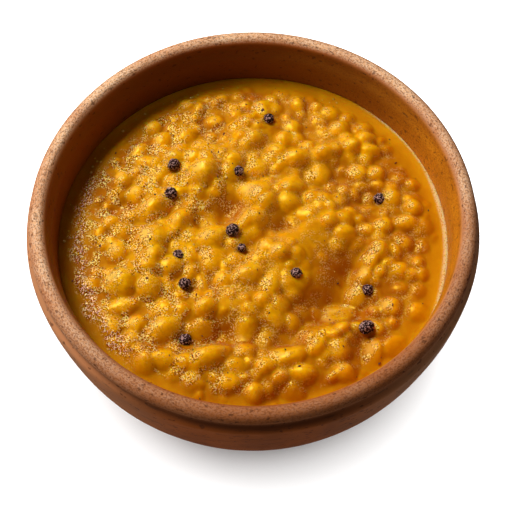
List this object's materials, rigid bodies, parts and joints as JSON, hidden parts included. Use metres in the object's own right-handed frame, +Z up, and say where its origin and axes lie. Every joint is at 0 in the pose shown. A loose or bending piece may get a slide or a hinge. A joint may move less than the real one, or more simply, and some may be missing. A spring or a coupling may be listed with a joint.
{
  "type": "bowl of dal",
  "caption": "Round terracotta serving bowl with a rolled lip, filled with thick lumpy yellow lentil dal with dark mustard seeds on top.",
  "frame": {"origin": "centre of the bowl's flat base, on the surface it stands on", "axes": "+Z up along the bowl's axis, -Y towards the viewer, +X to the viewer's right"},
  "size_m": [0.12, 0.12, 0.054],
  "materials": {
    "terracotta": "unglazed, fine grain with small pits, matt",
    "dal": "wet cooked lentils in thick gravy, glossy"
  },
  "bodies": {
    "root": {"bowl": "terracotta", "dal": "dal"}
  },
  "joints": []
}
